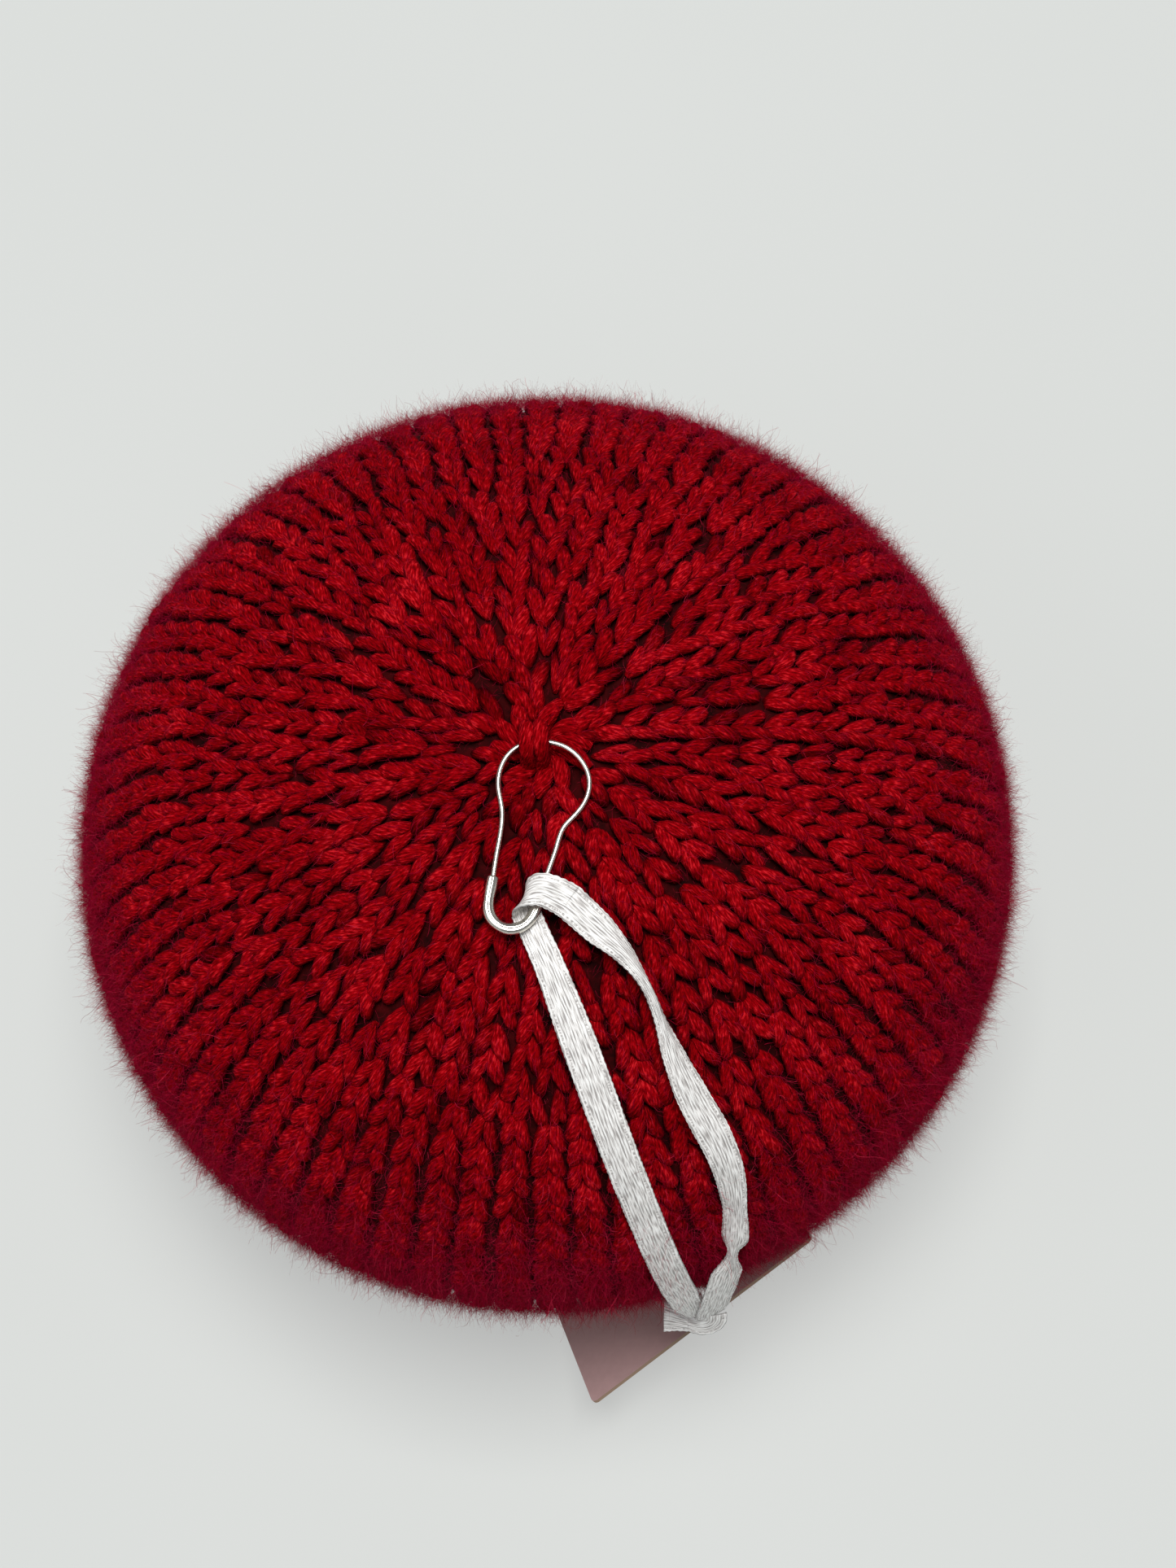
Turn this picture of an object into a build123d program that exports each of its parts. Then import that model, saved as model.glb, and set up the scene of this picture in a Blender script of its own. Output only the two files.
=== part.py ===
"""Knitted wrist pin cushion: a stuffed wool dome with an elastic wrist band under its base,
a bulb safety pin sewn to the crown, and a ribbon loop with a card tag hanging from the pin.

Millimetres, +Z up, origin on the resting plane under the middle of the dome, -Y is the front,
the side the pin, ribbon and tag hang towards.  One STEP file per separate physical piece.
"""
import math
import os

from build123d import *

# ---- the stuffed dome --------------------------------------------------------------
DOME_RADIUS = 59.0          # half the width at the fattest level
EQUATOR_Z = 38.0            # height of the fattest level
CROWN_RISE = 42.0           # crown above the fattest level, before the gathered dimple
BASE_DROP = 28.0            # flat base below the fattest level
TOP_POWER = 2.15            # roundness of the upper half
BASE_FLAT_RADIUS = 31.0     # the middle of the base is flat
BOTTOM_POWER = 1.7          # roundness from the flat base out to the fattest level
DIMPLE_DEPTH = 2.2
DIMPLE_RADIUS = 7.0
COVER_THICKNESS = 2.6       # thick wool knit
CROWN_HOLE_RADIUS = 5.5     # the last stitches, drawn up by the gathering yarn
BASE_HOLE_RADIUS = 27.0     # the cast-on edge, drawn in under the base
LAYER_GAP = 0.05
LINING_THICKNESS = 0.6

# ---- base and wrist band -----------------------------------------------------------
BAND_WIDTH = 25.0
BAND_THICKNESS = 1.6
BAND_FLAT_LENGTH = 82.0     # the loop lies collapsed under the cushion
BAND_GAP = 5.0
FELT_RADIUS = 33.0
FELT_THICKNESS = 1.7
GUARD_RADIUS = 26.0
GUARD_THICKNESS = 1.2
BASE_STITCH_COUNT = 36
THREAD_RADIUS = 0.35
YARN_RADIUS = 0.9

# ---- safety pin, flat in the plane z = PIN_Z ---------------------------------------
PIN_Z = 80.25
PIN_TOP = (-0.9, 0.22)      # where the yarn stitch holds the bulb
WIRE_RADIUS = 0.3
CAP_RADIUS = 0.64
CAP_BORE_RADIUS = 0.45
CAP_SLIT = 0.72
POINTED_WIRE = [PIN_TOP, (0.65, 0.03), (2.47, -0.60), (4.22, -2.24), (5.07, -4.75), (4.57, -7.0),
                (3.0, -9.0), (1.85, -10.2), (0.96, -12.32), (-0.32, -15.55), (-1.25, -18.0)]
POINT_TIP = (-1.72, -19.3)
FIXED_WIRE = [(-1.4, 0.18), (-2.51, -0.2), (-3.9, -1.2), (-4.85, -2.8), (-5.22, -4.85), (-4.95, -7.47),
              (-5.12, -9.75), (-5.82, -12.94), (-6.31, -15.37), (-6.7, -17.2)]
CAP_PATH = [(-6.31, -15.4), (-7.0, -18.7), (-6.55, -20.4), (-5.2, -21.4), (-3.6, -21.35),
            (-2.4, -20.45), (-1.6, -18.98)]

# ---- ribbon and tag ----------------------------------------------------------------
RIBBON_WIDTH = 4.2
RIBBON_THICKNESS = 0.3
RIBBON_LIMP_RADIUS = 12.6   # three widths
LIFT_AXIS_RIGHT = (2.6, -18.3, 80.9)      # the two places where the ribbon leaves the pin
LIFT_AXIS_LEFT = (-1.4, -23.4, 79.0)
LOOP_WIDTH = 2.4            # the ribbon is folded narrower where it passes through the pin
LOOP_THICKNESS = 0.4
LOOP_ROUTE = [(2.15, -17.6, 81.25), (-0.6, -16.35, 81.5), (-3.2, -17.6, 81.15), (-3.8, -19.0, 79.2),
              (-2.9, -21.2, 78.5), (-1.85, -22.5, 78.5)]
RIGHT_ROUTE = [LIFT_AXIS_RIGHT, (9.4, -26.2, 78.3), (13.4, -38.0, 72.6), (18.4, -46.5, 66.2),
               (19.6, -54.0, 54.5), (17.2, -59.8, 42.5), (16.6, -61.0, 36.4)]
LEFT_ROUTE = [LIFT_AXIS_LEFT, (2.2, -34.2, 76.3), (6.2, -46.2, 68.8), (10.6, -56.4, 55.2),
              (13.6, -60.2, 41.5), (14.6, -61.0, 36.4)]
KNOT_CENTRE = (15.6, -61.2, 33.9)
TAG_CORNER = (1.7, -69.8, 14.0)           # outer left corner of the card's top edge
TAG_FAR_CORNER = (31.3, -51.2, 24.0)      # outer right corner of the top edge
TAG_DOWN = (-0.228, 0.715, -0.66)         # down the card, in under the dome
TAG_LENGTH = 19.6
TAG_THICKNESS = 0.5
TAG_HOLE_RADIUS = 2.5
TAG_HOLE_INSET = 3.9


def dome_top(radius):
    """Height of the upper surface at a distance from the middle, dimple included."""
    swell = (1 - (radius / DOME_RADIUS) ** TOP_POWER) ** (1 / TOP_POWER)
    dimple = DIMPLE_DEPTH * math.exp(-(radius / DIMPLE_RADIUS) ** 2)
    return EQUATOR_Z + CROWN_RISE * swell - dimple


def dome_bottom(radius):
    """Height of the lower surface at a distance from the middle."""
    outward = max(radius - BASE_FLAT_RADIUS, 0) / (DOME_RADIUS - BASE_FLAT_RADIUS)
    swell = (1 - outward ** BOTTOM_POWER) ** (1 / BOTTOM_POWER)
    return EQUATOR_Z - BASE_DROP * swell


def dome_profile(inner_radius_top, inner_radius_base):
    """Half-section points (radius, height) from the crown over the rim to the base."""
    fractions = [0.0, 0.14, 0.3, 0.46, 0.62, 0.76, 0.87, 0.945, 0.985]
    top = []
    for fraction in fractions:
        radius = inner_radius_top + fraction * (DOME_RADIUS - inner_radius_top)
        top.append((radius, dome_top(radius)))
    bottom = []
    for fraction in reversed(fractions):
        radius = inner_radius_base + fraction * (DOME_RADIUS - inner_radius_base)
        bottom.append((radius, dome_bottom(radius)))
    return top + [(DOME_RADIUS, EQUATOR_Z)] + bottom


def inset(points, distance):
    """Move each half-section point inwards along its local normal."""
    moved = []
    for index, (radius, height) in enumerate(points):
        before = points[max(index - 1, 0)]
        after = points[min(index + 1, len(points) - 1)]
        along_r = after[0] - before[0]
        along_z = after[1] - before[1]
        length = math.hypot(along_r, along_z)
        moved.append((radius + distance * along_z / length, height - distance * along_r / length))
    return moved


def revolve_section(wire_edges):
    face = make_face(Plane.XZ * Wire(wire_edges))
    return revolve(face, Axis.Z)


def knit_cover():
    outer = dome_profile(CROWN_HOLE_RADIUS, BASE_HOLE_RADIUS)
    inner = inset(outer, COVER_THICKNESS)
    edges = [Spline(*outer), Line(outer[-1], inner[-1]), Spline(*reversed(inner)),
             Line(inner[0], outer[0])]
    return revolve_section(edges)


def closed_half_section(depth):
    """Half-section of the filled dome, inset by depth, flat on its axis at crown and base."""
    points = inset(dome_profile(CROWN_HOLE_RADIUS, BASE_HOLE_RADIUS), depth)
    crown = (0, points[0][1])
    base = (0, points[-1][1])
    return [Line(crown, points[0]), Spline(*points), Line(points[-1], base), Line(base, crown)]


def filled_dome(depth):
    return revolve_section(closed_half_section(depth))


def lining_bag():
    outside = COVER_THICKNESS + LAYER_GAP
    return filled_dome(outside) - filled_dome(outside + LINING_THICKNESS)


def stuffing_bottom():
    depth = COVER_THICKNESS + LINING_THICKNESS + 2 * LAYER_GAP
    return inset(dome_profile(CROWN_HOLE_RADIUS, BASE_HOLE_RADIUS), depth)[-1][1]


def guard_disc():
    """Stiff disc that stops a pin from going right through to the wrist."""
    low = stuffing_bottom()
    return Pos(0, 0, low + GUARD_THICKNESS / 2) * Cylinder(GUARD_RADIUS, GUARD_THICKNESS)


def stuffing():
    fill = filled_dome(COVER_THICKNESS + LINING_THICKNESS + 2 * LAYER_GAP)
    height = GUARD_THICKNESS + LAYER_GAP
    recess = Pos(0, 0, stuffing_bottom() + height / 2) * Cylinder(GUARD_RADIUS + LAYER_GAP, height)
    return fill - recess


def crown_gather_yarn():
    """Gathering yarn drawn tight through the last stitches of the crown."""
    return Pos(0, 0, dome_top(4.0) - 0.95) * Torus(4.45, YARN_RADIUS)


def base_gather_yarn():
    return Pos(0, 0, dome_bottom(0) + 1.05) * Torus(BASE_HOLE_RADIUS - 1.4, YARN_RADIUS)


def arch(centre_x):
    """One yarn strand standing over the top of the pin's bulb."""
    span = 1.75
    foot = dome_top(4.0) - 1.6
    path = Wire([
        Line((centre_x, PIN_TOP[1] + span, foot), (centre_x, PIN_TOP[1] + span, PIN_Z)),
        ThreePointArc((centre_x, PIN_TOP[1] + span, PIN_Z), (centre_x, PIN_TOP[1], PIN_Z + span),
                      (centre_x, PIN_TOP[1] - span, PIN_Z)),
        Line((centre_x, PIN_TOP[1] - span, PIN_Z), (centre_x, PIN_TOP[1] - span, foot)),
    ])
    section = Plane(origin=(centre_x, PIN_TOP[1] + span, foot), z_dir=(0, 0, 1)) * Circle(0.8)
    return sweep(section, path)


def crown_stitch():
    """The two strands of yarn that hold the pin, side by side."""
    return Compound(children=[arch(PIN_TOP[0] - 0.84), arch(PIN_TOP[0] + 0.84)])


def felt_base():
    return Pos(0, 0, felt_top() - FELT_THICKNESS / 2) * Cylinder(FELT_RADIUS, FELT_THICKNESS)


def felt_top():
    return dome_bottom(0) - 4 * LAYER_GAP


def base_stitches():
    """Overcast stitches round the felt's edge, each a short bar of thread on the cover."""
    stitches = []
    for index in range(BASE_STITCH_COUNT):
        bar = Pos(FELT_RADIUS + 0.5, 0, felt_top() - 0.6) * Box(0.7, 2.0, 1.0)
        stitches.append(Rot(0, 0, 360 * index / BASE_STITCH_COUNT) * fillet(bar.edges(), 0.25))
    return Compound(children=stitches)


def band_top():
    return felt_top() - FELT_THICKNESS - LAYER_GAP


def wrist_band():
    """Elastic loop, collapsed: two flat layers joined by a round turn at each end."""
    height = 2 * BAND_THICKNESS + BAND_GAP
    outline = SlotOverall(BAND_FLAT_LENGTH, height) - SlotOverall(
        BAND_FLAT_LENGTH - 2 * BAND_THICKNESS, height - 2 * BAND_THICKNESS)
    middle = band_top() - height / 2
    side = Plane(origin=(0, -BAND_WIDTH / 2, middle), x_dir=(1, 0, 0), z_dir=(0, 1, 0))
    return extrude(side * outline, BAND_WIDTH)


def band_stitches():
    """Two rows of thread that sew the band's upper layer to the felt, seen inside the loop."""
    under = band_top() - BAND_THICKNESS - 0.25
    rows = []
    for y in (-BAND_WIDTH / 2 + 3, BAND_WIDTH / 2 - 3):
        for index in range(9):
            bar = Box(3.0, 0.7, 0.4)
            rows.append(Pos(-18 + 4.5 * index, y, under) * bar)
    return Compound(children=rows)


def pin_points(route):
    return [(x, y, PIN_Z) for x, y in route]


def pin_wire_pointed():
    """The sprung leg: from the bulb's top round to the point under the cap."""
    points = pin_points(POINTED_WIRE + [POINT_TIP])
    path = Spline(*points)
    wire = sweep(Plane(origin=path @ 0, z_dir=path % 0) * Circle(WIRE_RADIUS), path)
    point_face = wire.faces().sort_by_distance(points[-1])[0]
    return chamfer(point_face.edges(), 0.2)


def pin_wire_fixed():
    """The leg the cap is crimped on."""
    path = Spline(*pin_points(FIXED_WIRE))
    return sweep(Plane(origin=path @ 0, z_dir=path % 0) * Circle(WIRE_RADIUS), path)


def pin_cap():
    """Folded sheet sheath: a round trough, open along its underside."""
    path = Spline(*pin_points(CAP_PATH))
    at_start = Plane(origin=path @ 0, z_dir=path % 0, x_dir=(path % 0).cross(Vector(0, 0, 1)))
    ring = Circle(CAP_RADIUS) - Circle(CAP_BORE_RADIUS)
    down = -1 if at_start.y_dir.Z > 0 else 1
    slit = Pos(0, down * CAP_RADIUS) * Rectangle(CAP_SLIT, 2 * (CAP_RADIUS - 0.1))
    return sweep(at_start * (ring - slit), path)


def ribbon_path(route, radii):
    """Straight runs joined by tangent arcs."""
    if len(route) == 2:
        return Line(*route)
    return FilletPolyline(*route, radius=radii)


def limp_radii(route, tightest):
    """The largest arc that fits at each turn, printed so that tight ones show up."""
    radii = []
    for before, corner, after in zip(route, route[1:], route[2:]):
        first = Vector(*corner) - Vector(*before)
        second = Vector(*after) - Vector(*corner)
        turn = math.radians(first.get_angle(second))
        fit = 0.45 * min(first.length, second.length) / math.tan(turn / 2)
        radii.append(round(min(fit, 400.0), 3))
    print("arc radii", radii, "wanted at least", tightest)
    return radii


def flat_ribbon(route, width, side, tightest, thickness=RIBBON_THICKNESS):
    """A flat ribbon along a route; side points along its width at the start."""
    path = ribbon_path(route, limp_radii(route, tightest))
    heading = path % 0
    across = Vector(*side) - heading * heading.dot(Vector(*side))
    section = Plane(origin=path @ 0, z_dir=heading, x_dir=across) * Rectangle(width, thickness)
    solid = sweep(section, path)
    print("length", round(path.length, 2), "volume", round(solid.volume, 2),
          "section x length", round(path.length * width * thickness, 2))
    return solid


def ribbon_loop():
    return flat_ribbon(LOOP_ROUTE, LOOP_WIDTH, (0.4, 0.916, 0.5), LOOP_WIDTH, LOOP_THICKNESS)


def ribbon_right():
    return flat_ribbon(RIGHT_ROUTE, RIBBON_WIDTH, (0.66, 0.75, 0.1), RIBBON_LIMP_RADIUS)


def ribbon_left():
    return flat_ribbon(LEFT_ROUTE, RIBBON_WIDTH, (0.93, 0.36, 0.1), RIBBON_LIMP_RADIUS)


def ribbon_knot():
    """The overhand knot that closes the ribbon loop."""
    knot = Box(4.6, 2.2, 4.8)
    return Pos(*KNOT_CENTRE) * fillet(knot.edges(), 0.9)


def tag_frame():
    """Plane of the card: x along its top edge, y up the card."""
    along = (Vector(*TAG_FAR_CORNER) - Vector(*TAG_CORNER)).normalized()
    down = Vector(*TAG_DOWN).normalized()
    return Plane(origin=TAG_CORNER, x_dir=along, z_dir=down.cross(along) * -1)


def tag_width():
    return (Vector(*TAG_FAR_CORNER) - Vector(*TAG_CORNER)).length


def tag_card():
    width = tag_width()
    card = RectangleRounded(width, TAG_LENGTH, 0.8)
    hole = Pos(0, TAG_LENGTH / 2 - TAG_HOLE_INSET) * Circle(TAG_HOLE_RADIUS)
    frame = tag_frame()
    side = -1 if frame.y_dir.Z > 0 else 1
    sketch = Rot(0, 0, 0 if side < 0 else 180) * (card - hole)
    place = Pos(width / 2, side * TAG_LENGTH / 2)
    return extrude(frame * (place * sketch), TAG_THICKNESS / 2, both=True)


def tag_hole_centre():
    along = (Vector(*TAG_FAR_CORNER) - Vector(*TAG_CORNER)).normalized()
    return Vector(*TAG_CORNER) + along * (tag_width() / 2) + Vector(*TAG_DOWN).normalized() * TAG_HOLE_INSET


def tag_loop():
    """Short doubled end of the ribbon from the knot down through the hole in the card."""
    top = Vector(KNOT_CENTRE[0], KNOT_CENTRE[1], KNOT_CENTRE[2] - 2.4 - 0.05)
    hole = tag_hole_centre()
    end = hole + (hole - top).normalized() * 1.6
    return flat_ribbon([tuple(top), tuple(end)], 2.8, (0.815, 0.512, 0.0), 0)


def ribbon_tail():
    """The cut end that sticks out of the knot to the left."""
    start = Vector(*KNOT_CENTRE) + Vector(-2.4, -0.1, -1.0)
    end = start + Vector(-3.6, -0.9, -0.8)
    return flat_ribbon([tuple(start), tuple(end)], 3.2, (0, -0.45, 0.9), 0)


PIECES = {
    "knit_cover": knit_cover,
    "lining_bag": lining_bag,
    "stuffing": stuffing,
    "guard_disc": guard_disc,
    "crown_gather_yarn": crown_gather_yarn,
    "crown_stitch": crown_stitch,
    "base_gather_yarn": base_gather_yarn,
    "felt_base": felt_base,
    "base_stitches": base_stitches,
    "wrist_band": wrist_band,
    "band_stitches": band_stitches,
    "pin_wire_pointed": pin_wire_pointed,
    "pin_wire_fixed": pin_wire_fixed,
    "pin_cap": pin_cap,
    "ribbon_loop": ribbon_loop,
    "ribbon_right": ribbon_right,
    "ribbon_left": ribbon_left,
    "ribbon_knot": ribbon_knot,
    "ribbon_tail": ribbon_tail,
    "tag_loop": tag_loop,
    "tag_card": tag_card,
}

os.makedirs("parts", exist_ok=True)
for name, make in PIECES.items():
    piece = make()
    box = piece.bounding_box()
    print(name, "volume", round(piece.volume, 1), "z", round(box.min.Z, 2), round(box.max.Z, 2))
    export_step(piece, f"parts/{name}.step")
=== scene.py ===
"""Looks of the knitted wrist pin cushion: yarn-level knit, wool fuzz, satin ribbon, pin, tag,
felt base and elastic band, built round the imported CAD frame.  Metres, +Z up, front is -Y."""
import math

import bpy
import numpy as np
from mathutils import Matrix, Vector


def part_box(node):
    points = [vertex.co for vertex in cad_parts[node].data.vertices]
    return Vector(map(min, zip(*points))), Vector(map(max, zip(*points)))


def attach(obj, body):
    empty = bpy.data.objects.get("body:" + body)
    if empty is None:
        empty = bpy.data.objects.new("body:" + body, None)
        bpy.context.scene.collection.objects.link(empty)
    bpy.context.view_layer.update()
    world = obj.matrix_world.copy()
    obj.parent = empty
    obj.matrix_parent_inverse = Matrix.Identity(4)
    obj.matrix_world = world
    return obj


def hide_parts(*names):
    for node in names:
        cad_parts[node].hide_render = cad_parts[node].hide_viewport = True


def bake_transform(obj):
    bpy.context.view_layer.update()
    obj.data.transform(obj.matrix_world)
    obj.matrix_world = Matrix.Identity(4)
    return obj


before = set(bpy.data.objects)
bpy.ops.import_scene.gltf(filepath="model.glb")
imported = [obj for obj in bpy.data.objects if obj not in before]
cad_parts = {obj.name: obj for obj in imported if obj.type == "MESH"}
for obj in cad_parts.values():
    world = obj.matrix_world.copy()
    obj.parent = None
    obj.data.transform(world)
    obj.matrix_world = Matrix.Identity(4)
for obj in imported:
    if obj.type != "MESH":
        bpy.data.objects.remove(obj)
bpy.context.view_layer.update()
MM = 0.001
rng = np.random.default_rng(7)

# ---- the dome, the same shape as the CAD cover -------------------------------------
DOME_RADIUS = 59.0 * MM
EQUATOR_Z = 38.0 * MM
CROWN_RISE = 42.0 * MM
BASE_DROP = 28.0 * MM
TOP_POWER = 2.15
BASE_FLAT_RADIUS = 31.0 * MM
BOTTOM_POWER = 1.7
BASE_HOLE_RADIUS = 27.0 * MM
DIMPLE_DEPTH = 2.2 * MM
DIMPLE_RADIUS = 7.0 * MM

# ---- the knit ----------------------------------------------------------------------
WALES = 72                        # knit ribs round the rim
SECTIONS = 8                      # spines that reach the crown; the ribs between run into them
DECREASE_ORDER = (8, 1, 7, 2, 6, 3, 5, 4)         # places in a section, first to end first
DECREASE_RADII = (38.0, 34.0, 29.5, 25.0, 20.5, 15.5, 10.5, 6.5)     # where they end, in mm
ROW_PITCH_CROWN = 3.4 * MM
ROW_PITCH_RIM = 3.3 * MM
CROWN_START = 3.2 * MM            # distance along the surface from the middle to the last stitch
HEM = 2.5 * MM                    # no row of stitches starts nearer than this to the base opening
MERGE_LEAD = 3.0 * MM             # a wale starts to take room this far inside its end
MERGE_LENGTH = 10.0 * MM          # and has its full share of room this much further out
RIBS_FROM = 36.0 * MM             # distance from the crown at which the ribs begin to stand out
RIBS_OVER = 22.0 * MM             # distance over which they do
TWIST = 0.075                     # turns of the yarn per millimetre
LEG_RINGS = 9
LEG_SIDES = 10
STITCH_OVERLAP = 0.5 * MM         # how far a stitch starts inside the one before it
LEG_LENGTH = (4.7 * MM, 5.0 * MM)                 # pairs: where the knit is flat, where it is ribbed
LEG_SPREAD = (0.41, 0.30)         # how far a leg leans out, as a share of the wale's room
LEG_HALF_WIDTH = (0.260, 0.240)   # as a share of the wale's room
LEG_WIDTH_LIMITS = (0.66 * MM, 1.16 * MM)
LEG_FALL = (0.50 * MM, 0.40 * MM)                 # how far a leg drops into the groove
LEG_DEPTH = 0.30 * MM             # how far the legs lie under the dome's surface
SECTORS = 4                       # mesh pieces the stitches are shared between
GROUND_DEPTH = 1.30 * MM          # closed fabric under the stitches, at the crown
GROUND_LIFT = 0.45 * MM           # how much nearer the surface it is at the rim
GROUND_BACK = 2.4 * MM            # depth of its inner side

# ---- places and routes that follow the CAD's, in millimetres unless MM is given ----
PIN_Z = 80.25 * MM
PIN_TOP = (-0.9 * MM, 0.22 * MM)
LIFT_AXIS_RIGHT = (2.6, -18.3, 80.9)
LIFT_AXIS_LEFT = (-1.4, -23.4, 79.0)
RIGHT_ROUTE = [(1.9, -18.95, 81.15), (9.4, -26.2, 78.3), (13.4, -38.0, 72.6), (18.4, -46.5, 66.2),
               (19.6, -54.0, 54.5), (17.2, -59.8, 42.5), (16.6, -61.0, 36.4)]
LEFT_ROUTE = [(-2.35, -21.0, 79.15), (-0.6, -25.6, 78.9), (2.2, -34.2, 76.3), (6.2, -46.2, 68.8),
              (10.6, -56.4, 55.2), (13.6, -60.2, 41.5), (14.6, -61.0, 36.4)]
KNOT_CENTRE = (15.6, -61.2, 33.9)
CAP_PATH = [(-6.31, -15.4), (-7.0, -18.7), (-6.55, -20.4), (-5.2, -21.4), (-3.6, -21.35),
            (-2.4, -20.45), (-1.6, -18.98)]
TAG_HOLE = (15.6, -57.7, 16.4)
TAG_CORNER = (1.7, -69.8, 14.0)
TAG_FAR_CORNER = (31.3, -51.2, 24.0)
TAG_DOWN = (-0.228, 0.715, -0.66)
BAND_THICKNESS = 1.6 * MM
BASE_STITCHES = 36
RIBBON_WIDTH = 4.0 * MM

# ---- the strands: (share of the length from the pin down, value) -------------------
RIGHT_TURNS = [(0, -8), (0.06, -10), (0.16, -30), (0.30, -18), (0.42, 0), (0.52, 8), (0.65, 38),
               (0.74, 34), (0.80, 5), (1, 0)]
RIGHT_WIDTHS = [(0, 0.98), (0.07, 0.90), (0.15, 0.42), (0.2, 0.26), (0.24, 0.30), (0.30, 0.62),
                (0.37, 0.88), (0.45, 0.97), (0.55, 0.85), (0.64, 0.68), (0.72, 0.8), (0.75, 0.25),
                (0.78, 0.35), (0.82, 1.0), (1, 0.95)]
RIGHT_CUPS = [(0, 0.1), (0.08, 0.2), (0.18, 0.8), (0.26, 0.7), (0.4, 0.1), (0.68, 0.1), (0.76, 0.6),
              (0.9, 0.2), (1, 0.3)]
LEFT_TURNS = [(0, 6), (0.3, 2), (0.6, 14), (1, 8)]
LEFT_WIDTHS = [(0, 0.78), (0.08, 0.82), (0.2, 0.97), (0.5, 1.0), (0.85, 1.0), (0.94, 0.85), (1, 0.4)]
LEFT_CUPS = [(0, 0.3), (0.2, 0.1), (1, 0.15)]

# ---- camera and light --------------------------------------------------------------
LENS = 54.1                       # on a sensor 36 mm wide
CAMERA_PLACE = (0.0, -0.0849, 0.33407)
CAMERA_AIM = (0.00569, 0.00737, 0.04011)
FLOOR_REACH = 3.0
FLOOR_GLOW = 0.43
ROOM_LIGHT = 0.20
LAMP_AIM = (0, 0, 0.04)


# ==== small helpers =================================================================
def smoothstep(x):
    """0 below 0 and 1 above 1, with a soft rise between."""
    x = np.clip(x, 0.0, 1.0)
    return x * x * (3.0 - 2.0 * x)


def between(ends, share):
    """The value a share of the way from the first end to the second."""
    return ends[0] + (ends[1] - ends[0]) * share


def unit(v):
    """The vectors along the last axis at length 1."""
    return v / np.maximum(np.linalg.norm(v, axis=-1, keepdims=True), 1e-12)


def facing_out(verts, faces):
    """The faces, all turned over if together they enclose a negative volume."""
    first, *rest = (verts[faces[:, corner]] for corner in range(faces.shape[1]))
    volume = sum(np.sum(first * np.cross(a, b)) for a, b in zip(rest, rest[1:]))
    return faces[:, ::-1] if volume < 0 else faces


def make_mesh(name, verts, faces, uvs=None, material=None, shade=None):
    """A mesh object from numpy vertices and same-sized faces; uvs is one pair per vertex and
    shade one number per vertex for painted shade, 0 deep in the fabric and 1 on top of it."""
    verts = np.asarray(verts, dtype=float)
    faces = facing_out(verts, np.asarray(faces))
    mesh = bpy.data.meshes.new(name)
    corners = faces.shape[1]
    mesh.vertices.add(len(verts))
    mesh.vertices.foreach_set("co", np.ascontiguousarray(verts, dtype=np.float32).ravel())
    mesh.loops.add(faces.size)
    mesh.loops.foreach_set("vertex_index", np.ascontiguousarray(faces, dtype=np.int32).ravel())
    mesh.polygons.add(len(faces))
    mesh.polygons.foreach_set("loop_start", np.arange(0, faces.size, corners, dtype=np.int32))
    mesh.update(calc_edges=True)
    mesh.validate()
    mesh.polygons.foreach_set("use_smooth", np.ones(len(faces), dtype=bool))
    if uvs is not None:
        layer = mesh.uv_layers.new(name="run")
        layer.data.foreach_set("uv", uvs[faces.ravel()].astype(np.float32).ravel())
    if shade is not None:
        layer = mesh.attributes.new("shade", "FLOAT", "POINT")
        layer.data.foreach_set("value", np.asarray(shade, dtype=np.float32).ravel())
    obj = bpy.data.objects.new(name, mesh)
    bpy.context.collection.objects.link(obj)
    if material is not None:
        mesh.materials.append(material)
    return obj


def grid_faces(rows, columns, wrap):
    """Quads of a rows x columns vertex grid, closed round the columns if wrap."""
    last = columns if wrap else columns - 1
    r, c = np.meshgrid(np.arange(rows - 1), np.arange(last), indexing="ij")
    n = (c + 1) % columns
    return np.stack([r * columns + c, r * columns + n, (r + 1) * columns + n, (r + 1) * columns + c],
                    -1).reshape(-1, 4)


def repeat_faces(faces, vertex_count, copies):
    """The same faces for each of several copies of a block of vertices."""
    shift = (np.arange(copies) * vertex_count)[:, None, None]
    return (faces[None] + shift).reshape(-1, faces.shape[1])


def tubes(lines, normals, half_width, half_height, sides, ply=0.0, ply_turns=0.0):
    """Closed-ring tubes round many lines at once.  lines is (n, m, 3); half sizes are (n, m).
    Returns vertices, faces, one (around, along) pair per vertex with along in millimetres, and
    how far each vertex is above its line."""
    count, steps, _ = lines.shape
    tangent = unit(np.gradient(lines, axis=1))
    normal = unit(normals - tangent * np.sum(normals * tangent, -1, keepdims=True))
    side = np.cross(tangent, normal)
    around = np.linspace(0, 2 * np.pi, sides, endpoint=False)
    run = np.concatenate([np.zeros((count, 1)),
                          np.cumsum(np.linalg.norm(np.diff(lines, axis=1), axis=-1), axis=1)], 1)
    swell = 1.0 + ply * np.cos(2 * around[None, None] - ply_turns * run[..., None] / MM)
    across = (np.sin(around) * half_width[..., None] * swell)[..., None] * side[:, :, None]
    above = -np.cos(around) * half_height[..., None] * swell
    verts = (lines[:, :, None] + across + above[..., None] * normal[:, :, None]).reshape(-1, 3)
    faces = repeat_faces(grid_faces(steps, sides, True), steps * sides, count)
    start = rng.random((count, 1, 1)) * 40
    twist = around / (2 * np.pi) + TWIST * run[..., None] / MM
    uv = np.stack(np.broadcast_arrays(twist, run[..., None] / MM + 0 * around + start), -1)
    return verts, faces, uv.reshape(-1, 2), above


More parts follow.
